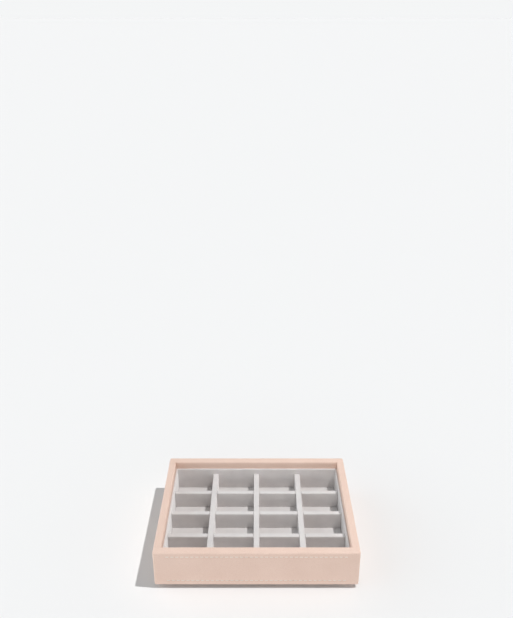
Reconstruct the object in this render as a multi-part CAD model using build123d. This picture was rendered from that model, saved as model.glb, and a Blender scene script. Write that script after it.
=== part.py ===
from build123d import *
import os

# Jewelry tray: four covered walls on a base board, a velvet lining, a grid of
# half-lapped velvet dividers, and a plinth that seats in the tray below.
# Millimetres. X runs along the front, Y to the back, Z up. The origin is the
# middle of the plinth's underside, where the tray rests.

# Outer size: the walls as covered, and how far the plinth lifts them
tray_width = 180.0
tray_depth = 125.0
wall_height = 37.0
plinth_lift = 4.0

# Boards of the frame
wall_board = 5.0
base_board = 3.5
board_round = 0.8

# Leathercloth over the frame
cover = 1.0

# Velvet lining: how round its top edges are, its card, how far its edge lies below
# the rim, and its floor pad
velvet = 0.5
velvet_round = 0.7
liner_card = 0.6
liner_drop = 7.8
floor_pad = 0.7

# Dividers: how far the long ones' tops lie below the rim, how much lower the
# cross ones stand, and the play in their slots
columns = 4
rows = 4
long_core = 4.4
cross_core = 3.4
long_drop = 14.0
cross_step = 0.4
slot_clearance = 0.1

# Plinth: its play all round in the rim of the tray below
stacking_clearance = 0.8
plinth_round = 2.0

# Stitching along the rim and along the bottom edge of each wall
thread = 0.6
thread_sink = 0.35
thread_bevel = 0.12
stitch_length = 3.2
stitch_gap = 1.1
stitch_inset = 5.0
stitch_margin = 9.0
groove_clearance = 0.2

# How far a cut runs past the face that it leaves
overrun = 1.0

# Heights
rim_top = plinth_lift + wall_height
base_bottom = plinth_lift + cover
base_top = base_bottom + base_board
floor_pad_top = base_top + floor_pad
floor_top = floor_pad_top + velvet
liner_top = rim_top - liner_drop
long_top = rim_top - long_drop
cross_top = long_top - cross_step
lap_height = (floor_top + cross_top) / 2

# Spans inside the covered walls, and the field between the lining's walls
wall = wall_board + 2 * cover
inside_width = tray_width - 2 * wall
inside_depth = tray_depth - 2 * wall
liner = liner_card + 2 * velvet
field_width = inside_width - 2 * liner
field_depth = inside_depth - 2 * liner
long_divider = long_core + 2 * velvet
cross_divider = cross_core + 2 * velvet
plinth_width = inside_width - 2 * stacking_clearance
plinth_depth = inside_depth - 2 * stacking_clearance


def block(width, depth, bottom, top):
    """A box centred over the origin, from one height to another."""
    return Pos(0, 0, (bottom + top) / 2) * Box(width, depth, top - bottom)


def slab(width, depth, bottom, top, rounding):
    """A block with its four upright edges rounded."""
    body = block(width, depth, bottom, top)
    return fillet(body.edges().filter_by(Axis.Z), rounding)


def wall_ring(width, depth, thickness, bottom, top, rounding):
    """Four walls in one, rounded down the outer corners and along both edges of the top."""
    opening = block(width - 2 * thickness, depth - 2 * thickness, bottom, top)
    ring = block(width, depth, bottom, top) - opening
    middle = (width - thickness) / 2
    corners = ring.edges().filter_by(Axis.Z).filter_by(lambda edge: abs(edge.center().X) > middle)
    top_edges = ring.faces().sort_by(Axis.Z)[-1].edges()
    return fillet(corners + top_edges, rounding)


def four_walls(ring, thickness, width, depth):
    """The ring as four pieces: front and back run full width, the sides butt between them."""
    side_length = depth - 2 * thickness
    side_reach = (width - thickness) / 2
    end_reach = (depth - thickness) / 2
    end = block(width, thickness, 0, rim_top)
    side = block(thickness, side_length, 0, rim_top)
    return {
        "front": ring & (Pos(0, -end_reach, 0) * end),
        "back": ring & (Pos(0, end_reach, 0) * end),
        "left": ring & (Pos(-side_reach, 0, 0) * side),
        "right": ring & (Pos(side_reach, 0, 0) * side),
    }


def upright(length, thickness, bottom, top, rounding):
    """A strip standing along X, rounded along both edges of its top."""
    strip = block(length, thickness, bottom, top)
    top_edges = strip.faces().sort_by(Axis.Z)[-1].edges().filter_by(Axis.X)
    return fillet(top_edges, rounding)


def sleeved_strip(length, core_thickness, bottom, top):
    """An upright core, and the velvet that goes up one side, over the top and down the other."""
    core = upright(length, core_thickness, bottom, top - velvet, velvet_round - velvet)
    sleeve = upright(length, core_thickness + 2 * velvet, bottom, top, velvet_round) - core
    return core, sleeve


def divider_places(span, cells, thickness):
    """Centres of the dividers that part a span into equal cells."""
    pitch = (span + thickness) / cells
    return [(index - cells / 2) * pitch for index in range(1, cells)]


def slotted(strip, places, crossing, bottom, top):
    """The strip, along X, with a slot at each place for a crossing divider of that thickness."""
    slot = block(crossing + 2 * slot_clearance, long_divider + cross_divider, bottom, top)
    for place in places:
        strip = strip - Pos(place, 0, 0) * slot
    return strip


def wall_faces():
    """The outer face of each wall as a plane, with X along the wall, and the wall's length."""
    front = Plane((0, -tray_depth / 2, 0), x_dir=(1, 0, 0), z_dir=(0, -1, 0))
    back = Plane((0, tray_depth / 2, 0), x_dir=(-1, 0, 0), z_dir=(0, 1, 0))
    left = Plane((-tray_width / 2, 0, 0), x_dir=(0, -1, 0), z_dir=(-1, 0, 0))
    right = Plane((tray_width / 2, 0, 0), x_dir=(0, 1, 0), z_dir=(1, 0, 0))
    return {
        "front": (front, tray_width),
        "back": (back, tray_width),
        "left": (left, tray_depth),
        "right": (right, tray_depth),
    }


def stitch_rows():
    """Heights of the two rows of stitches on a wall."""
    return [plinth_lift + stitch_inset, rim_top - stitch_inset]


def stitching(length):
    """Both rows of stitches on a wall, and the grooves that the thread lies in."""
    pitch = stitch_length + stitch_gap
    count = int((length - 2 * stitch_margin + stitch_gap) / pitch)
    row_length = count * pitch - stitch_gap
    stitch = extrude(SlotOverall(stitch_length, thread), amount=thread_sink)
    stitch = chamfer(stitch.faces().sort_by(Axis.Z)[-1].edges(), thread_bevel)
    groove_length = row_length + 2 * groove_clearance
    groove = extrude(SlotOverall(groove_length, thread + 2 * groove_clearance), amount=thread_sink + overrun)
    stitches = []
    grooves = []
    for height in stitch_rows():
        grooves.append(Pos(0, height, -thread_sink) * groove)
        for index in range(count):
            place = index * pitch + (stitch_length - row_length) / 2
            stitches.append(Pos(place, height, -thread_sink) * stitch)
    return stitches, grooves


def frame_boards(pieces):
    """The base board, and the wall boards that stand on it."""
    board_width = tray_width - 2 * cover
    board_depth = tray_depth - 2 * cover
    pieces["base_board"] = slab(board_width, board_depth, base_bottom, base_top, board_round)
    ring = wall_ring(board_width, board_depth, wall_board, base_top, rim_top - cover, board_round)
    for side, board in four_walls(ring, wall_board, board_width, board_depth).items():
        pieces[side + "_wall_board"] = board
    return pieces["base_board"] + ring


def covers_and_stitching(pieces, frame):
    """The leathercloth round the frame, in four strips, with its stitching."""
    ring = wall_ring(tray_width, tray_depth, wall, plinth_lift, rim_top, board_round + cover)
    foot_edges = ring.faces().sort_by(Axis.Z)[0].outer_wire().edges()
    ring = fillet(foot_edges, cover) - frame
    for side, strip in four_walls(ring, wall, tray_width, tray_depth).items():
        face, length = wall_faces()[side]
        stitches, grooves = stitching(length)
        for groove in grooves:
            strip = strip - face.location * groove
        pieces[side + "_cover"] = strip
        pieces[side + "_stitching"] = Compound([face.location * stitch for stitch in stitches])


def plinth(pieces):
    """The inset board under the base, and the velvet round its sides and underneath."""
    outer = slab(plinth_width, plinth_depth, 0, base_bottom, plinth_round)
    board_width = plinth_width - 2 * velvet
    board_depth = plinth_depth - 2 * velvet
    board = slab(board_width, board_depth, velvet, base_bottom, plinth_round - velvet)
    pieces["plinth_board"] = board
    pieces["plinth_velvet"] = outer - board


def lining(pieces):
    """The floor pad and its velvet, and the velvet-covered cards against the walls."""
    pieces["floor_pad"] = block(field_width, field_depth, base_top, floor_pad_top)
    pieces["floor_velvet"] = block(field_width, field_depth, floor_pad_top, floor_top)
    end_reach = (inside_depth - liner) / 2
    side_reach = (inside_width - liner) / 2
    places = {
        "front": (inside_width, Pos(0, -end_reach, 0)),
        "back": (inside_width, Pos(0, end_reach, 0)),
        "left": (field_depth, Pos(-side_reach, 0, 0) * Rot(0, 0, 90)),
        "right": (field_depth, Pos(side_reach, 0, 0) * Rot(0, 0, 90)),
    }
    for side, (length, place) in places.items():
        card, sleeve = sleeved_strip(length, liner_card, base_top, liner_top)
        pieces[side + "_liner_card"] = place * card
        pieces[side + "_liner_velvet"] = place * sleeve


def dividers(pieces):
    """Long dividers slotted from below, over cross dividers slotted from above."""
    column_places = divider_places(field_width, columns, long_divider)
    row_places = divider_places(field_depth, rows, cross_divider)
    core, sleeve = sleeved_strip(field_depth, long_core, floor_top, long_top)
    core = slotted(core, row_places, cross_divider, floor_top, lap_height)
    sleeve = slotted(sleeve, row_places, cross_divider, floor_top, lap_height)
    for number, place in enumerate(column_places, start=1):
        spot = Pos(place, 0, 0) * Rot(0, 0, 90)
        pieces[f"long_divider_{number}_core"] = spot * core
        pieces[f"long_divider_{number}_velvet"] = spot * sleeve
    core, sleeve = sleeved_strip(field_width, cross_core, floor_top, cross_top)
    core = slotted(core, column_places, long_divider, lap_height, rim_top)
    sleeve = slotted(sleeve, column_places, long_divider, lap_height, rim_top)
    for number, place in enumerate(row_places, start=1):
        spot = Pos(0, place, 0)
        pieces[f"cross_divider_{number}_core"] = spot * core
        pieces[f"cross_divider_{number}_velvet"] = spot * sleeve


pieces = {}
frame = frame_boards(pieces)
covers_and_stitching(pieces, frame)
plinth(pieces)
lining(pieces)
dividers(pieces)

os.makedirs("parts", exist_ok=True)
for name, piece in pieces.items():
    export_step(piece, f"parts/{name}.step")
print(len(pieces), "pieces written")
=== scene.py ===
import math

import bpy
import numpy as np
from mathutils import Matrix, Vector, noise


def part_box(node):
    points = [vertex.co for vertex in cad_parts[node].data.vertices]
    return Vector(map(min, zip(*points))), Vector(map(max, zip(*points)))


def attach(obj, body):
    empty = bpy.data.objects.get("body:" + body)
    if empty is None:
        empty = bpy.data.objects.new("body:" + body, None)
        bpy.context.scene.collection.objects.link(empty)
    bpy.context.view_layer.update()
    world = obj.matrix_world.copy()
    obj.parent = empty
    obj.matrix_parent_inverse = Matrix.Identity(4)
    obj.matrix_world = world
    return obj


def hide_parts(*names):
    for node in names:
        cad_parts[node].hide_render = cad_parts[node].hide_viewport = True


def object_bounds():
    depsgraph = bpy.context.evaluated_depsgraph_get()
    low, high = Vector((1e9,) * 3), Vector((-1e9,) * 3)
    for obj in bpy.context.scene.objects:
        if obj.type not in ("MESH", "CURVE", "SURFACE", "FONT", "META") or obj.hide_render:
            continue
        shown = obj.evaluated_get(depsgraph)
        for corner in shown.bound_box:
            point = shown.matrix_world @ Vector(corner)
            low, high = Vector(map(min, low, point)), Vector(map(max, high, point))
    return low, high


# The tray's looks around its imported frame: leathercloth covers with their
# stitching, and the velvet lining, as modelled sheets with real thickness.
# Metres. The small sizes below are in millimetres times MM.

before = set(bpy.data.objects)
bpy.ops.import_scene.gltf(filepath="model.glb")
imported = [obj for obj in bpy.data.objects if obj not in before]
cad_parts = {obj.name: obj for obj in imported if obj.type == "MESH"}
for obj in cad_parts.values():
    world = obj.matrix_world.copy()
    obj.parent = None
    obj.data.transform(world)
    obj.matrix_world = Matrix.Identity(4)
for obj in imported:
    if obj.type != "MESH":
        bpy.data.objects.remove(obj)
cad_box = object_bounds()

MM = 0.001

# The sides, with the angle that turns the front to each, in degrees
SIDES = {"front": 0, "right": 90, "back": 180, "left": 270}

# Leathercloth: its thickness, its rounding at the rim, and how it dips where two covers
# butt. SEAM_FADE takes the dip away where the rim turns down into the mitre.
COVER = 1.0 * MM
RIM_ROUND = 1.8 * MM
SEAM_DIP = 0.22 * MM
SEAM_REACH = 0.32 * MM
SEAM_FADE = 2 * MM

# How much the leathercloth wanders: long waves, and short ones that are a share as high
WANDER = 0.07 * MM
WANDER_LONG = 14 * MM
WANDER_SHORT = 5 * MM
WANDER_SHARE = 0.35

# One stitch and the gap to the next
STITCH = 3.2 * MM
STITCH_GAP = 1.1 * MM
STITCH_PITCH = STITCH + STITCH_GAP

# Thread: how deep its middle lies, the length of one twist of its two plies, and how
# much thinner it is between them
THREAD = 0.6 * MM
THREAD_DEPTH = 0.2 * MM
TWIST = 2.2 * MM
PLY_WAIST = 0.86

# Ends of a stitch: where they start to go down, how steeply and how far, and how much
# they draw in
DIVE_START = 0.62
DIVE_POWER = 1.7
DIVE = 0.9 * MM
DRAW_IN = 0.97

# How far the stitches stray, along their row and across it, and how many degrees they
# lean, with the seed of their draws
STRAY_ALONG = 0.05 * MM
STRAY_ACROSS = 0.03 * MM
LEAN = 0.9
STITCH_SEED = 5

# What a row of stitches pulls in the leathercloth: a valley all along it, and a pucker
# at each hole
VALLEY = 0.22 * MM
VALLEY_REACH = 0.75 * MM
VALLEY_OVERRUN = 0.4 * MM
VALLEY_FADE = 0.25 * MM
HOLE = 0.2 * MM
HOLE_INSET = 0.1 * MM
HOLE_LENGTH = 0.42 * MM
HOLE_HEIGHT = 0.5 * MM

# Velvet, and how much its nap wanders
VELVET = 0.5 * MM
VELVET_ROUND = 0.7 * MM
SLOT_PLAY = 0.1 * MM
NAP = 0.05 * MM
NAP_LONG = 11 * MM
NAP_SHORT = 2.5 * MM
NAP_SHARE = 0.5

# Plinth: how round its upright corners are, and the edge of its underside
PLINTH_CORNER = 2.0 * MM
PLINTH_EDGE = 0.6 * MM

# Mesh steps on a cover: under the wall, up its face below, at, between and above the
# rows of stitches, across the rim, and down inside; then how many steps run along a
# stitch and its gap, and how far past a row its fine steps go
UNDER_STEP = 0.4 * MM
FOOT_STEP = 0.6 * MM
ROW_STEP = 0.2 * MM
FACE_STEP = 1.2 * MM
BROW_STEP = 0.5 * MM
RIM_STEP = 0.55 * MM
INSIDE_STEP = 1.5 * MM
STEPS_A_PITCH = 8
ROW_NEAR = 2 * MM

# Distances from a butt joint at which a side cover has a point
JOINT_STEPS = np.array([0, 0.12, 0.25, 0.4, 0.6, 0.9, 1.3, 1.8]) * MM

# Mesh steps on the velvet: up a sleeve, over it, along it, and on floor and plinth
SLEEVE_RISE = 1.0 * MM
SLEEVE_TOP = 0.7 * MM
SLEEVE_RUN = 0.9 * MM
FLOOR_STEP = 1.2 * MM
PLINTH_STEP = 2.5 * MM

# How near counts as the same, how near is welded, how near touches, and a distance past
# all of the tray
SAME = 1e-9
WELD = 0.002 * MM
TOUCH = 0.01 * MM
FAR = 1.0

# How far each seed moves the noise
SEED_SHIFT = (7.3, 3.1, 5.7)

# Camera, fitted to the tray's edges in the photograph. SENSOR can be any size, because
# the lens follows from it
PHOTO_HEIGHT = 618
FOCAL_PX = 631.28
PRINCIPAL_ROW_PX = 264.75
SENSOR = 36.0
CAMERA_PITCH = 21.79
CAMERA_AWAY = 411.89 * MM
CAMERA_UP = 472.38 * MM

# Floor: how far it goes, and how light it is
FLOOR_REACH = 60.0
FLOOR_SHADE = 0.76

# Sky: its level by the height of the direction, 0 at the horizon and 1 overhead
SKY = [(0.0, 0.918), (0.03, 0.918), (0.18, 1.77), (0.4, 0.52), (0.6, 0.20), (0.85, 0.04), (1.0, 0.70)]
SKY_TINT = (0.99, 1.0, 1.005)

# Fill, a broad sun on the left: its level, its spread in degrees, and its direction
FILL = 0.85
FILL_SPREAD = 70
FILL_FROM = (-1.0, 0.0, 0.5)
FILL_TINT = (0.88, 1.0, 1.07)

# Floor's key, a small sun on the right
FLOOR_KEY = 2.39
FLOOR_KEY_SPREAD = 1.5
FLOOR_KEY_FROM = (0.449, -0.043, 1.0)
FLOOR_KEY_TINT = (1.01, 1.0, 0.995)

# Tray's key, a lamp on the right: its level at a distance much like the tray's, its
# place and its radius
LAMP_LEVEL = 1.66
LAMP_DISTANCE = 1.34
LAMP_PLACE = (0.452, -0.055, 1.25)
LAMP_RADIUS = 0.018

# Sizes read from the frame
TRAY_LOW, TRAY_HIGH = cad_box
HALF_WIDTH = TRAY_HIGH.x
HALF_DEPTH = TRAY_HIGH.y
RIM_TOP = TRAY_HIGH.z
WALL_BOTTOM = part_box("front_cover")[0].z
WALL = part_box("left_cover")[1].x - TRAY_LOW.x
BASE_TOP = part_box("base_board")[1].z
STITCH_LOW, STITCH_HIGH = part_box("front_stitching")
STITCH_ROWS = (STITCH_LOW.z + THREAD / 2, STITCH_HIGH.z - THREAD / 2)

# Where the rim starts to round down inside, from the outer face. Then, from the middle
# along a front or back wall: where its corner starts to turn, and the side wall's inner
# rounding and inner face
RIM_LINE = WALL - RIM_ROUND
CORNER = HALF_WIDTH - RIM_ROUND
SIDE_LINE = HALF_WIDTH - RIM_LINE
SIDE_FACE = HALF_WIDTH - WALL


def smooth_noise(points, wavelength, seed):
    """A soft random height from -1 to 1 at each point."""
    shift = Vector([seed * part for part in SEED_SHIFT])
    scaled = points.reshape(-1, 3) / wavelength
    heights = [noise.noise(Vector(point) + shift) for point in scaled]
    return np.array(heights).reshape(points.shape[:-1])


def wandering(points, height, long_wave, short_wave, share, seed):
    """Long waves of a height, with short ones over them that are a share as high."""
    slow = height * smooth_noise(points, long_wave, seed)
    return slow + share * height * smooth_noise(points, short_wave, seed + 1)


def hump(distance, reach):
    """A bell curve, 1 at no distance."""
    return np.exp(-((distance / reach) ** 2))


def spaced(start, end, step):
    """Evenly spaced values from start to end, about step apart."""
    count = max(1, round(abs(end - start) / step))
    return np.linspace(start, end, count + 1)


def joined(*runs):
    """Runs of values end to end, each run's first value dropped where it repeats the last."""
    values = list(runs[0])
    for run in runs[1:]:
        values.extend(run[1:] if abs(run[0] - values[-1]) < SAME else run)
    return np.array(values)


def quarter(start, end, steps=8):
    """Evenly spaced angles in radians, from start to end in degrees."""
    return np.radians(np.linspace(start, end, steps + 1))


def stacked(*columns):
    """Columns side by side; a single value goes all the way down."""
    return np.stack(np.broadcast_arrays(*columns), axis=-1)


class Skin:
    """Grids of points gathered into one open sheet, which then gets its thickness."""

    def __init__(self):
        self.points = []
        self.faces = []

    def add(self, points, keep=None):
        """Adds a grid of points, rows by columns; keep says which of its faces stay."""
        rows, columns = points.shape[:2]
        start = sum(len(done) for done in self.points)
        index = start + np.arange(rows * columns).reshape(rows, columns)
        quads = np.stack((index[:-1, :-1], index[:-1, 1:], index[1:, 1:], index[1:, :-1]), axis=-1)
        if keep is not None:
            quads = quads[keep]
        self.points.append(points.reshape(-1, 3))
        self.faces.append(quads.reshape(-1, 4))

    def build(self, name, thickness):
        """The sheet as an object, welded along its grids' shared edges, with thickness inward."""
        points = np.concatenate(self.points).tolist()
        piece = linked(name, points, np.concatenate(self.faces).tolist())
        join = piece.modifiers.new("weld", "WELD")
        join.merge_threshold = WELD
        shell = piece.modifiers.new("thickness", "SOLIDIFY")
        shell.thickness = thickness
        shell.offset = -1
        shell.use_even_offset = True
        apply_modifiers(piece)
        return piece


def linked(name, points, faces):
    """A mesh of these points and faces, as an object in the scene."""
    mesh = bpy.data.meshes.new(name)
    mesh.from_pydata(points, [], faces)
    piece = bpy.data.objects.new(name, mesh)
    bpy.context.scene.collection.objects.link(piece)
    return piece


def apply_modifiers(piece):
    """Leaves the piece with the mesh that its modifiers make."""
    graph = bpy.context.evaluated_depsgraph_get()
    graph.update()
    made = bpy.data.meshes.new_from_object(piece.evaluated_get(graph))
    made.name = piece.data.name
    piece.modifiers.clear()
    piece.data = made
    made.shade_smooth()


def dress(piece, shade, slot_name, *nodes):
    """Gives a piece its material and its body, and hides the nodes it stands for; slot_name is not used.
    """
    piece.data.materials.clear()
    piece.data.materials.append(shade)
    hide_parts(*nodes)
    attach(piece, "root")


# Materials

def material(name):
    """A node material, with its tree and its Principled shader."""
    made = bpy.data.materials.new(name)
    made.use_nodes = True
    tree = made.node_tree
    shader = tree.nodes["Principled BSDF"]
    return made, tree, shader


def node(tree, kind, inputs=None, **settings):
    """Adds a node; an input is a value, or a socket to link from."""
    made = tree.nodes.new(kind)
    for key, value in settings.items():
        setattr(made, key, value)
    for key, value in (inputs or {}).items():
        if isinstance(value, bpy.types.NodeSocket):
            tree.links.new(value, made.inputs[key])
        else:
            made.inputs[key].default_value = value
    return made


def own_place(tree):
    """Where a point lies in its piece, in metres."""
    return node(tree, "ShaderNodeTexCoord").outputs["Object"]


def ramp(tree, factor, stops):
    """A colour ramp over the factor, with stops as (position, colour)."""
    made = node(tree, "ShaderNodeValToRGB", {"Fac": factor})
    elements = made.color_ramp.elements
    while len(elements) < len(stops):
        elements.new(0.5)
    for element, (position, colour) in zip(elements, stops):
        element.position = position
        element.color = (*colour, 1)
    return made.outputs["Color"]


def noise_at(tree, place, scale, detail, roughness=0.5):
    """Soft noise at a scale in cells per metre."""
    inputs = {"Vector": place, "Scale": scale, "Detail": detail, "Roughness": roughness}
    return node(tree, "ShaderNodeTexNoise", inputs).outputs["Fac"]


def bumped(tree, height, distance, strength, below=None):
    """A bump of a height field, over another bump where there is one."""
    inputs = {"Height": height, "Distance": distance, "Strength": strength}
    if below is not None:
        inputs["Normal"] = below
    return node(tree, "ShaderNodeBump", inputs).outputs["Normal"]


def leathercloth():
    """Pale blush leathercloth with a fine pebbled grain, and painted shade in the grain's creases."""
    made, tree, shader = material("leathercloth")
    place = own_place(tree)
    mottle = noise_at(tree, place, scale=45.0, detail=4.0)
    colour = ramp(tree, mottle, [(0.3, (0.842, 0.628, 0.528)), (0.7, (0.876, 0.665, 0.565))])
    grain = {"Vector": place, "Scale": 1300.0}
    pebbles = node(tree, "ShaderNodeTexVoronoi", grain, feature="DISTANCE_TO_EDGE").outputs["Distance"]
    # Painted shade: the creases between the pebbles are made darker in the colour
    painted_crease_shade = ramp(tree, pebbles, [(0.0, (0.93, 0.90, 0.88)), (0.16, (1.0, 1.0, 1.0))])

    # The Mix node's sockets for colours go by number, because its names are shared
    factor, first, second, result = 0, 6, 7, 2
    layers = {factor: 1.0, first: colour, second: painted_crease_shade}
    crease_shaded = node(tree, "ShaderNodeMix", layers, data_type="RGBA", blend_type="MULTIPLY")
    tree.links.new(crease_shaded.outputs[result], shader.inputs["Base Color"])

    pores = noise_at(tree, place, scale=4200.0, detail=3.0)
    coarse = bumped(tree, pebbles, distance=0.14 * MM, strength=0.7)
    fine = bumped(tree, pores, distance=0.04 * MM, strength=0.4, below=coarse)
    tree.links.new(fine, shader.inputs["Normal"])
    patches = noise_at(tree, place, scale=120.0, detail=3.0)
    gloss = node(tree, "ShaderNodeMapRange", {"Value": patches, "To Min": 0.46, "To Max": 0.58})
    tree.links.new(gloss.outputs["Result"], shader.inputs["Roughness"])
    shader.inputs["Specular IOR Level"].default_value = 0.35
    return made


def velvet_cloth():
    """Light grey velvet, its short nap lying in faint patches."""
    made, tree, shader = material("velvet")
    place = own_place(tree)
    nap = noise_at(tree, place, scale=90.0, detail=4.0)
    colour = ramp(tree, nap, [(0.3, (0.700, 0.665, 0.655)), (0.7, (0.762, 0.728, 0.712))])
    tree.links.new(colour, shader.inputs["Base Color"])
    fibres = noise_at(tree, place, scale=5200.0, detail=4.0, roughness=0.65)
    tufts = noise_at(tree, place, scale=700.0, detail=3.0)
    soft = bumped(tree, tufts, distance=0.15 * MM, strength=0.6)
    fine = bumped(tree, fibres, distance=0.08 * MM, strength=0.6, below=soft)
    tree.links.new(fine, shader.inputs["Normal"])
    shader.inputs["Roughness"].default_value = 0.95
    shader.inputs["Specular IOR Level"].default_value = 0.1
    shader.inputs["Sheen Weight"].default_value = 1.0
    shader.inputs["Sheen Roughness"].default_value = 0.6
    shader.inputs["Sheen Tint"].default_value = (0.95, 0.93, 0.92, 1)
    return made


def flecked(name, scale, detail, stops, distance, strength, roughness):
    """A material that one fine noise colours and roughens, and its shader."""
    made, tree, shader = material(name)
    flecks = noise_at(tree, own_place(tree), scale, detail)
    tree.links.new(ramp(tree, flecks, stops), shader.inputs["Base Color"])
    tree.links.new(bumped(tree, flecks, distance, strength), shader.inputs["Normal"])
    shader.inputs["Roughness"].default_value = roughness
    return made, shader


def thread():
    """Cream polyester thread."""
    stops = [(0.3, (0.90, 0.83, 0.76)), (0.7, (0.96, 0.92, 0.87))]
    made, shader = flecked(
        "thread", scale=6000.0, detail=3.0, stops=stops,
        distance=0.03 * MM, strength=0.4, roughness=0.55,
    )
    shader.inputs["Sheen Weight"].default_value = 0.2
    return made


def fibreboard():
    """Raw fibreboard: warm brown with fine specks."""
    stops = [(0.35, (0.33, 0.22, 0.13)), (0.65, (0.50, 0.36, 0.23))]
    made, _ = flecked(
        "fibreboard", scale=1800.0, detail=6.0, stops=stops,
        distance=0.05 * MM, strength=0.5, roughness=0.85,
    )
    return made


def grey_board():
    """Grey board of recycled paper, with fibres and flecks."""
    stops = [(0.3, (0.30, 0.29, 0.27)), (0.7, (0.46, 0.45, 0.42))]
    made, _ = flecked(
        "grey_board", scale=2600.0, detail=5.0, stops=stops,
        distance=0.04 * MM, strength=0.4, roughness=0.9,
    )
    return made


# Covers. A wall's own space: along the wall, depth from its outer face, height.

def placed(points, side):
    """Points of a wall's own space, in their place on that side of the tray."""
    angle = math.radians(SIDES[side])
    reach = HALF_DEPTH if side in ("front", "back") else HALF_WIDTH
    along, depth, height = points[..., 0], points[..., 1] - reach, points[..., 2]
    x = along * math.cos(angle) - depth * math.sin(angle)
    y = along * math.sin(angle) + depth * math.cos(angle)
    return np.stack((x, y, height), axis=-1)


def face_heights():
    """Heights up the outer face between its roundings, closest together at the stitches."""
    low, high = STITCH_ROWS
    return joined(
        spaced(WALL_BOTTOM + COVER, low - ROW_NEAR, FOOT_STEP),
        spaced(low - ROW_NEAR, low + ROW_NEAR, ROW_STEP),
        spaced(low + ROW_NEAR, high - ROW_NEAR, FACE_STEP),
        spaced(high - ROW_NEAR, high + ROW_NEAR, ROW_STEP),
        spaced(high + ROW_NEAR, RIM_TOP - RIM_ROUND, BROW_STEP),
    )


def outer_rows():
    """The skin's rows from under the wall to the rim: how far out, how high, and the way they face."""
    foot_line = RIM_ROUND - COVER
    under = spaced(0, foot_line, UNDER_STEP)
    foot = quarter(-90, 0, steps=6)[1:]
    face = face_heights()[1:]
    rim = quarter(0, 90)[1:]
    out, up, facing = np.concatenate((
        stacked(under, WALL_BOTTOM, -math.pi / 2),
        stacked(foot_line + COVER * np.cos(foot), WALL_BOTTOM + COVER + COVER * np.sin(foot), foot),
        stacked(RIM_ROUND, face, 0),
        stacked(RIM_ROUND * np.cos(rim), RIM_TOP - RIM_ROUND + RIM_ROUND * np.sin(rim), rim),
    )).T
    return out, up, np.cos(facing), np.sin(facing)


def wall_depths():
    """Depths across the top of the wall, from the outer rounding to the inner face."""
    return joined(spaced(RIM_ROUND, RIM_LINE, RIM_STEP), RIM_LINE + RIM_ROUND * np.sin(quarter(0, 90)))


def inside_heights():
    """Heights down a cover's inner face, from the rim's rounding to the base board."""
    return spaced(RIM_TOP - RIM_ROUND, BASE_TOP, INSIDE_STEP)


def plain_normals(points, axis, way):
    """Normals of a flat grid, which all face the same way along one axis."""
    normals = np.zeros_like(points)
    normals[..., axis] = way
    return normals


def swept(base, facing, out, up):
    """A section, how far out and how high, swept along base points that each face their own way."""
    points = np.zeros((len(out), len(base), 3))
    points[..., :2] = base[None] + facing[None] * out[:, None, None]
    points[..., 2] = up[:, None]
    return points


def stitch_places(side):
    """Where each stitch's middle lies along a wall."""
    low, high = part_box(side + "_stitching")
    row = high.x - low.x if side in ("front", "back") else high.y - low.y
    count = round((row + STITCH_GAP) / STITCH_PITCH)
    return (np.arange(count) - (count - 1) / 2) * STITCH_PITCH


def relief(points, normals, side, seam):
    """How far the leather stands proud of its plain shape: seam is the distance to the butt joint."""
    places = stitch_places(side)
    nearest = np.abs(points[..., 0, None] - places).min(axis=-1)
    row_end = places[-1] + STITCH / 2
    on_row = 1 / (1 + np.exp((np.abs(points[..., 0]) - row_end - VALLEY_OVERRUN) / VALLEY_FADE))
    outward = np.clip(-normals[..., 1], 0, 1)
    holes = hump(nearest - STITCH / 2 + HOLE_INSET, HOLE_LENGTH)
    height = np.zeros(points.shape[:-1])
    for row in STITCH_ROWS:
        valley = VALLEY * hump(points[..., 2] - row, VALLEY_REACH)
        pucker = HOLE * holes * hump(points[..., 2] - row, HOLE_HEIGHT)
        height -= (valley + pucker) * on_row * outward
    height -= SEAM_DIP * hump(seam, SEAM_REACH)
    waves = wandering(placed(points, side), WANDER, WANDER_LONG, WANDER_SHORT, WANDER_SHARE, seed=1)
    return height + waves


def add_leather(skin, side, points, normals, seam):
    """Adds a grid of the cover, with its relief, in its place."""
    lifted = points + normals * relief(points, normals, side, seam)[..., None]
    skin.add(placed(lifted, side))


def end_places():
    """Places along a front or back wall, closest together over the side walls' inner rounding."""
    steps = SIDE_LINE - RIM_ROUND * np.sin(quarter(0, 90))
    middle = spaced(-SIDE_FACE, SIDE_FACE, STITCH_PITCH / STEPS_A_PITCH)
    right = joined(steps[::-1], spaced(SIDE_LINE, CORNER, RIM_STEP))
    return joined(-right[::-1], middle, right)


def end_face(along, depths):
    """Outer face of a front or back cover, from one joint round both corners to the other."""
    turn = quarter(0, 90)[1:-1]
    base = np.concatenate((
        stacked(-CORNER, depths[::-1]),
        np.tile((-CORNER, RIM_ROUND), (len(turn), 1)),
        stacked(along, RIM_ROUND),
        np.tile((CORNER, RIM_ROUND), (len(turn), 1)),
        stacked(CORNER, depths),
    ))
    facing = np.concatenate((
        np.tile((-1.0, 0.0), (len(depths), 1)),
        stacked(-np.cos(turn), -np.sin(turn)),
        np.tile((0.0, -1.0), (len(along), 1)),
        stacked(np.sin(turn), -np.cos(turn)),
        np.tile((1.0, 0.0), (len(depths), 1)),
    ))
    out, up, level, lift = outer_rows()
    points = swept(base, facing, out, up)
    normals = swept(np.zeros_like(base), facing, level, lift)
    seam = np.where(np.abs(points[..., 0]) > CORNER - TOUCH, WALL - points[..., 1], FAR)
    return points, normals, seam


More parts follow.
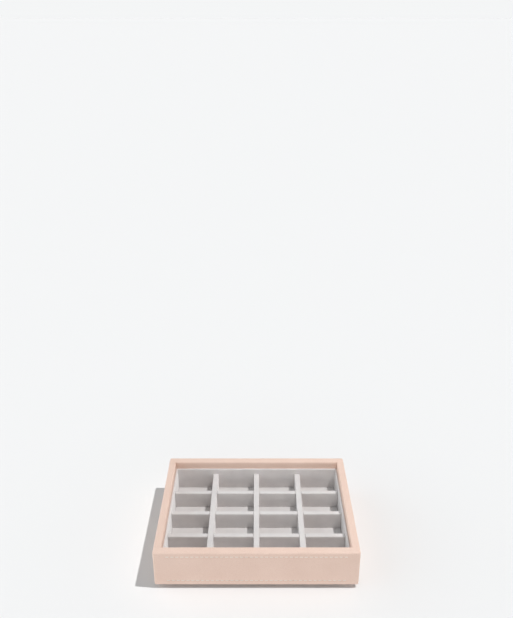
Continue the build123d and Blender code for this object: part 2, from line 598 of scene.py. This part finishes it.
def end_rim(along, depths):
    """Top of a front or back cover's rim, mitred into the side walls' inner rounding."""
    across, down = np.meshgrid(along, depths)
    end_over = np.clip(down - RIM_LINE, 0, RIM_ROUND)
    side_over = np.clip(SIDE_LINE - np.abs(across), 0, RIM_ROUND)
    on_side = (np.abs(across) > SIDE_FACE - TOUCH) & (side_over < end_over)
    over = np.where(on_side, side_over, end_over)
    rise = np.sqrt(np.clip(RIM_ROUND**2 - over**2, 0, None))
    points = np.stack((across, down, RIM_TOP - RIM_ROUND + rise), axis=-1)
    tilt = over / RIM_ROUND
    sideways = np.where(on_side, -np.sign(across) * tilt, 0)
    inward = np.where(on_side, 0, tilt)
    normals = np.stack((sideways, inward, rise / RIM_ROUND), axis=-1)
    joint = np.clip((np.abs(across) - SIDE_FACE) / RIM_ROUND, 0, 1)
    seam = (WALL - down) + (1 - joint) * SEAM_FADE
    return points, normals, seam


def end_under(along, depths):
    """Underside of a front or back cover."""
    across, down = np.meshgrid(along, depths[::-1])
    points = stacked(across, down, WALL_BOTTOM)
    seam = np.where(np.abs(across) > CORNER - TOUCH, WALL - down, FAR)
    return points, plain_normals(points, 2, -1), seam


def end_inside(along):
    """Inner face of a front or back cover, between the side walls."""
    inside = along[np.abs(along) < SIDE_FACE + TOUCH]
    across, up = np.meshgrid(inside, inside_heights())
    points = stacked(across, WALL, up)
    return points, plain_normals(points, 1, 1), np.full(across.shape, FAR)


def end_cover(side):
    """The front or back cover: it runs full width, round both corners, to the side covers' joints."""
    skin = Skin()
    along = end_places()
    depths = wall_depths()
    grids = (
        end_face(along, depths),
        end_rim(along, depths),
        end_under(along, depths),
        end_inside(along),
    )
    for points, normals, seam in grids:
        add_leather(skin, side, points, normals, seam)
    return skin.build(side + "_leather", COVER)


def side_section():
    """A side cover's rows, from under the wall over the rim to the base board, and the way they face."""
    out, up, level, lift = outer_rows()
    depths = wall_depths()
    inner = quarter(0, 90)[1:]
    top = depths[1:len(depths) - len(inner)]
    inner_height = RIM_TOP - RIM_ROUND + RIM_ROUND * np.cos(inner)
    return np.concatenate((
        stacked(depths[::-1][:-1], WALL_BOTTOM, 0, -1),
        stacked(RIM_ROUND - out, up, -level, lift),
        stacked(top, RIM_TOP, 0, 1),
        stacked(RIM_LINE + RIM_ROUND * np.sin(inner), inner_height, np.sin(inner), np.cos(inner)),
        stacked(WALL, inside_heights()[1:], 1, 0),
    ))


def side_cover(side):
    """The left or right cover, which butts between the front and back ones."""
    skin = Skin()
    reach = HALF_DEPTH - WALL
    last = JOINT_STEPS[-1]
    middle = spaced(-reach + last, reach - last, STITCH_PITCH / STEPS_A_PITCH)
    along = joined(-reach + JOINT_STEPS, middle, (reach - JOINT_STEPS)[::-1])
    depth, height, inward, upward = side_section().T[..., None]
    points = stacked(along, depth, height)
    normals = stacked(np.zeros_like(along), inward, upward)
    add_leather(skin, side, points, normals, reach - np.abs(points[..., 0]))
    return skin.build(side + "_leather", COVER)


# Stitching

def stitch_tube():
    """One stitch: a two-ply twisted thread, along X, that goes down through the leather at both ends."""
    rings = 17
    sides = 12
    half = STITCH / 2
    along = np.linspace(-half, half, rings)
    past = np.clip((np.abs(along) - DIVE_START * half) / ((1 - DIVE_START) * half), 0, 1)
    depth = THREAD_DEPTH + DIVE * past**DIVE_POWER
    drawn = along * DRAW_IN
    tilt = np.arctan(np.gradient(depth) / np.gradient(drawn))[:, None]
    angle = np.linspace(0, 2 * math.pi, sides, endpoint=False)
    twist = along / TWIST * 2 * math.pi
    radius = THREAD / 2 * (PLY_WAIST + (1 - PLY_WAIST) * np.abs(np.cos(angle - twist[:, None])))
    sideways = radius * np.cos(angle)
    outward = radius * np.sin(angle)
    x = drawn[:, None] + outward * np.sin(tilt)
    y = depth[:, None] - outward * np.cos(tilt)
    return np.stack((x, y, sideways), axis=-1)


def tube_faces(rings, sides):
    """Faces of a closed tube, wound so that they face out."""
    index = np.arange(rings * sides).reshape(rings, sides)
    around = np.roll(index, -1, axis=1)
    walls = np.stack((index[:-1], around[:-1], around[1:], index[1:]), axis=-1)
    return walls.reshape(-1, 4).tolist() + [index[0][::-1].tolist(), index[-1].tolist()]


def stitching(side):
    """Both rows of stitches on a wall."""
    tube = stitch_tube()
    tube_along, tube_up = tube[..., 0], tube[..., 2]
    one = tube_faces(*tube.shape[:2])
    points = []
    faces = []
    rng = np.random.default_rng(SIDES[side] + STITCH_SEED)
    for row in STITCH_ROWS:
        for place in stitch_places(side):
            start = len(points) * tube_along.size
            lean = math.radians(rng.normal(0, LEAN))
            stitch = tube.copy()
            stitch[..., 0] = tube_along * math.cos(lean) - tube_up * math.sin(lean)
            stitch[..., 2] = tube_along * math.sin(lean) + tube_up * math.cos(lean)
            spot = np.array((place + rng.normal(0, STRAY_ALONG), 0, row + rng.normal(0, STRAY_ACROSS)))
            points.append(placed(stitch + spot, side).reshape(-1, 3))
            faces.extend([[start + corner for corner in face] for face in one])
    piece = linked(side + "_thread", np.concatenate(points).tolist(), faces)
    piece.data.shade_smooth()
    return piece


# Velvet

def napped(points, normals, seed):
    """Velvet's points, let in a little so that the nap's waves stay inside the plain shape."""
    waves = wandering(points, NAP, NAP_LONG, NAP_SHORT, NAP_SHARE, seed)
    return points + normals * (waves - NAP)[..., None]


def sleeve_rows(half, bottom, top):
    """A sleeve's section, up one side, over the top and down the other, with the way it faces."""
    shoulder = half - VELVET_ROUND
    arc = quarter(180, 90, steps=6)
    flat = []
    if shoulder > TOUCH:
        flat = spaced(-shoulder, shoulder, SLEEVE_TOP)[1:-1]
    side = stacked(-half, spaced(bottom, top - VELVET_ROUND, SLEEVE_RISE)[:-1], -1, 0)
    across = -half + VELVET_ROUND + VELVET_ROUND * np.cos(arc)
    bend = stacked(across, top - VELVET_ROUND + VELVET_ROUND * np.sin(arc), np.cos(arc), np.sin(arc))
    rising = np.concatenate((side, bend))
    falling = rising[::-1] * (-1, 1, -1, 1)
    if not len(flat):
        falling = falling[1:]
    return np.concatenate((rising, stacked(flat, top, 0, 1), falling))


def cut_row(rows, height):
    """Moves the nearest row on each side of a section to the height where a slot ends."""
    nearest = np.argmin(np.abs(rows[:len(rows) // 2, 1] - height))
    rows[[nearest, len(rows) - 1 - nearest], 1] = height


def sleeve(name, crossings=(), slot_width=0.0, slot=None):
    """The velvet sleeve over a card or core, slotted at each crossing between slot's two heights."""
    low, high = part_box(name)
    size = high - low
    run = 1 if size.y > size.x else 0
    marks = [low[run]]
    for place in crossings:
        marks += [place - slot_width / 2, place + slot_width / 2]
    marks.append(high[run])
    along = joined(*[spaced(start, end, SLEEVE_RUN) for start, end in zip(marks, marks[1:])])
    rows = sleeve_rows(min(size.x, size.y) / 2, low.z, high.z)
    if slot:
        bottom, top = slot
        cut_row(rows, bottom if bottom > low.z + TOUCH else top)
    if run == 1:
        along = along[::-1]
    points = np.zeros((len(rows), len(along), 3))
    points[..., run] = along
    points[..., 1 - run] = (low[1 - run] + high[1 - run]) / 2 + rows[:, :1]
    points[..., 2] = rows[:, 1:2]
    normals = np.zeros_like(points)
    normals[..., 1 - run] = rows[:, 2:3]
    normals[..., 2] = rows[:, 3:]
    keep = None
    if slot:
        middles = (along[:-1] + along[1:]) / 2
        in_crossing = np.zeros(len(middles), bool)
        for place in crossings:
            in_crossing |= np.abs(middles - place) < slot_width / 2
        heights = (rows[:-1, 1:2] + rows[1:, 1:2]) / 2
        keep = ~((heights > bottom) & (heights < top) & in_crossing)
    skin = Skin()
    skin.add(napped(points, normals, seed=3), keep)
    return skin.build(name.replace("_velvet", "_sleeve"), VELVET)


def floor_sheet():
    """The velvet on the compartments' floor."""
    low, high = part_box("floor_velvet")
    across, deep = np.meshgrid(spaced(low.x, high.x, FLOOR_STEP), spaced(low.y, high.y, FLOOR_STEP))
    points = stacked(across, deep, high.z)
    skin = Skin()
    skin.add(napped(points, plain_normals(points, 2, 1), seed=5))
    return skin.build("floor_cloth", VELVET)


def plinth_cloth():
    """The velvet round the plinth's sides and underneath."""
    low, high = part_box("plinth_velvet")
    xs = spaced(low.x + PLINTH_CORNER, high.x - PLINTH_CORNER, PLINTH_STEP)
    ys = spaced(low.y + PLINTH_CORNER, high.y - PLINTH_CORNER, PLINTH_STEP)
    turn = quarter(0, 90, steps=6)[1:-1]
    walls = (
        (stacked(xs, ys[0]), -90),
        (stacked(xs[-1], ys), 0),
        (stacked(xs[::-1], ys[-1]), 90),
        (stacked(xs[0], ys[::-1]), 180),
    )
    base = []
    facing = []
    for line, degrees in walls:
        angles = math.radians(degrees) + np.concatenate((np.zeros(len(line)), turn))
        base += [line, np.tile(line[-1], (len(turn), 1))]
        facing.append(stacked(np.cos(angles), np.sin(angles)))
    base = np.concatenate(base + [base[0][:1]])
    facing = np.concatenate(facing + [facing[0][:1]])
    edge_line = PLINTH_CORNER - PLINTH_EDGE
    edge_top = low.z + PLINTH_EDGE
    bend = quarter(-90, 0, steps=5)
    section = np.concatenate((
        stacked((0, edge_line / 2), low.z),
        stacked(edge_line + PLINTH_EDGE * np.cos(bend), edge_top + PLINTH_EDGE * np.sin(bend)),
        stacked(PLINTH_CORNER, np.linspace(edge_top, high.z, 5)[1:]),
    ))
    skin = Skin()
    skin.add(swept(base, facing, *section.T))
    across, deep = np.meshgrid(xs, ys[::-1])
    skin.add(stacked(across, deep, low.z))
    return skin.build("plinth_cloth", VELVET)


def lining():
    """Every velvet piece, with the name of the node that it stands for."""
    crosses = [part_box(f"cross_divider_{number}_velvet") for number in (1, 2, 3)]
    longs = [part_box(f"long_divider_{number}_velvet") for number in (1, 2, 3)]
    rows = [(low.y + high.y) / 2 for low, high in crosses]
    columns = [(low.x + high.x) / 2 for low, high in longs]
    row_slot = crosses[0][1].y - crosses[0][0].y + 2 * SLOT_PLAY
    column_slot = longs[0][1].x - longs[0][0].x + 2 * SLOT_PLAY
    bottom = longs[0][0].z
    lap = (bottom + crosses[0][1].z) / 2
    made = {}
    for side in SIDES:
        name = side + "_liner_velvet"
        made[name] = sleeve(name)
    for number in (1, 2, 3):
        name = f"long_divider_{number}_velvet"
        made[name] = sleeve(name, rows, row_slot, (bottom, lap))
        name = f"cross_divider_{number}_velvet"
        made[name] = sleeve(name, columns, column_slot, (lap, RIM_TOP))
    made["floor_velvet"] = floor_sheet()
    made["plinth_velvet"] = plinth_cloth()
    return made


# Cloth. Each piece was cut flat and glued down. The two functions below take no step.

def declare_cover(side):
    """Takes no step. A cover's strip goes under the wall, up its face, over the rim and down inside."""
    if side in ("left", "right"):
        return


def declare_velvet(name):
    """Takes no step. A velvet piece lies flat on the floor, wraps round the plinth, or is folded over a
    card or core.
    """
    if name == "floor_velvet":
        return
    if name == "plinth_velvet":
        return
    if "liner" in name:
        return


# Scene

def camera():
    """The camera where the photograph was taken from."""
    data = bpy.data.cameras.new("camera")
    data.sensor_width = SENSOR
    data.lens = FOCAL_PX * SENSOR / PHOTO_HEIGHT
    data.shift_y = (PRINCIPAL_ROW_PX - PHOTO_HEIGHT / 2) / PHOTO_HEIGHT
    data.clip_start = 0.01
    data.clip_end = 200.0
    made = bpy.data.objects.new("camera", data)
    made.location = (0, TRAY_LOW.y - CAMERA_AWAY, CAMERA_UP)
    made.rotation_euler = (math.radians(90 - CAMERA_PITCH), 0, 0)
    bpy.context.scene.collection.objects.link(made)
    bpy.context.scene.camera = made


def floor():
    """A plain pale floor."""
    reach = FLOOR_REACH
    corners = [(-reach, -reach, 0), (reach, -reach, 0), (reach, reach, 0), (-reach, reach, 0)]
    made = linked("floor", corners, [(0, 1, 2, 3)])
    shade, _, shader = material("floor")
    shader.inputs["Base Color"].default_value = (FLOOR_SHADE, FLOOR_SHADE, FLOOR_SHADE, 1)
    shader.inputs["Roughness"].default_value = 1.0
    shader.inputs["Specular IOR Level"].default_value = 0.0
    made.data.materials.append(shade)
    return made


def sky():
    """A sky that is brightest a little above the horizon, dark higher up, and light again overhead."""
    world = bpy.data.worlds.new("studio")
    bpy.context.scene.world = world
    world.use_nodes = True
    tree = world.node_tree
    way = node(tree, "ShaderNodeTexCoord").outputs["Generated"]
    height = node(tree, "ShaderNodeSeparateXYZ", {"Vector": way}).outputs["Z"]
    stops = [(position, [level * part for part in SKY_TINT]) for position, level in SKY]
    tree.links.new(ramp(tree, height, stops), tree.nodes["Background"].inputs["Color"])


def light(name, kind, energy, **settings):
    """Adds a light at the origin, facing straight down."""
    data = bpy.data.lights.new(name, kind)
    data.energy = energy
    for key, value in settings.items():
        setattr(data, key, value)
    made = bpy.data.objects.new(name, data)
    bpy.context.scene.collection.objects.link(made)
    return made


def sun(name, energy, spread, towards, tint):
    """A far light that shines from that direction, spread over some degrees."""
    made = light(name, "SUN", energy, angle=math.radians(spread), color=tint)
    made.rotation_euler = Vector(towards).to_track_quat("Z", "Y").to_euler()
    return made


def shine_on(made, things):
    """Keeps a light to these things; everything still casts its shadow."""
    lit = bpy.data.collections.new(made.name + "_lit")
    for thing in things:
        lit.objects.link(thing)
    made.light_linking.receiver_collection = lit


def lights(ground, tray):
    """A soft fill from the left, and a key up on the right, far for the floor and near for the tray."""
    sun("fill", FILL, FILL_SPREAD, FILL_FROM, FILL_TINT)

    # The shadows in the photograph show how near each key is
    floor_key = sun("floor_key", FLOOR_KEY, FLOOR_KEY_SPREAD, FLOOR_KEY_FROM, FLOOR_KEY_TINT)
    shine_on(floor_key, [ground])
    power = LAMP_LEVEL * 4 * math.pi * LAMP_DISTANCE**2
    lamp = light("lamp", "POINT", power, shadow_soft_size=LAMP_RADIUS)
    lamp.location = LAMP_PLACE
    shine_on(lamp, tray)


board = fibreboard()
card = grey_board()
for name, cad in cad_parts.items():
    cad.data.materials.clear()
    cad.data.materials.append(board if name.endswith("_board") else card)

leather = leathercloth()
cream = thread()
for side in SIDES:
    cover = end_cover(side) if side in ("front", "back") else side_cover(side)
    dress(cover, leather, "leathercloth", side + "_cover")
    declare_cover(side)
    dress(stitching(side), cream, "thread", side + "_stitching")
velvet = velvet_cloth()
for name, piece in lining().items():
    dress(piece, velvet, "velvet", name)
    declare_velvet(name)

camera()
sky()
tray_meshes = [thing for thing in bpy.context.scene.objects if thing.type == "MESH"]
lights(floor(), tray_meshes)
bpy.context.scene.view_settings.view_transform = "Standard"
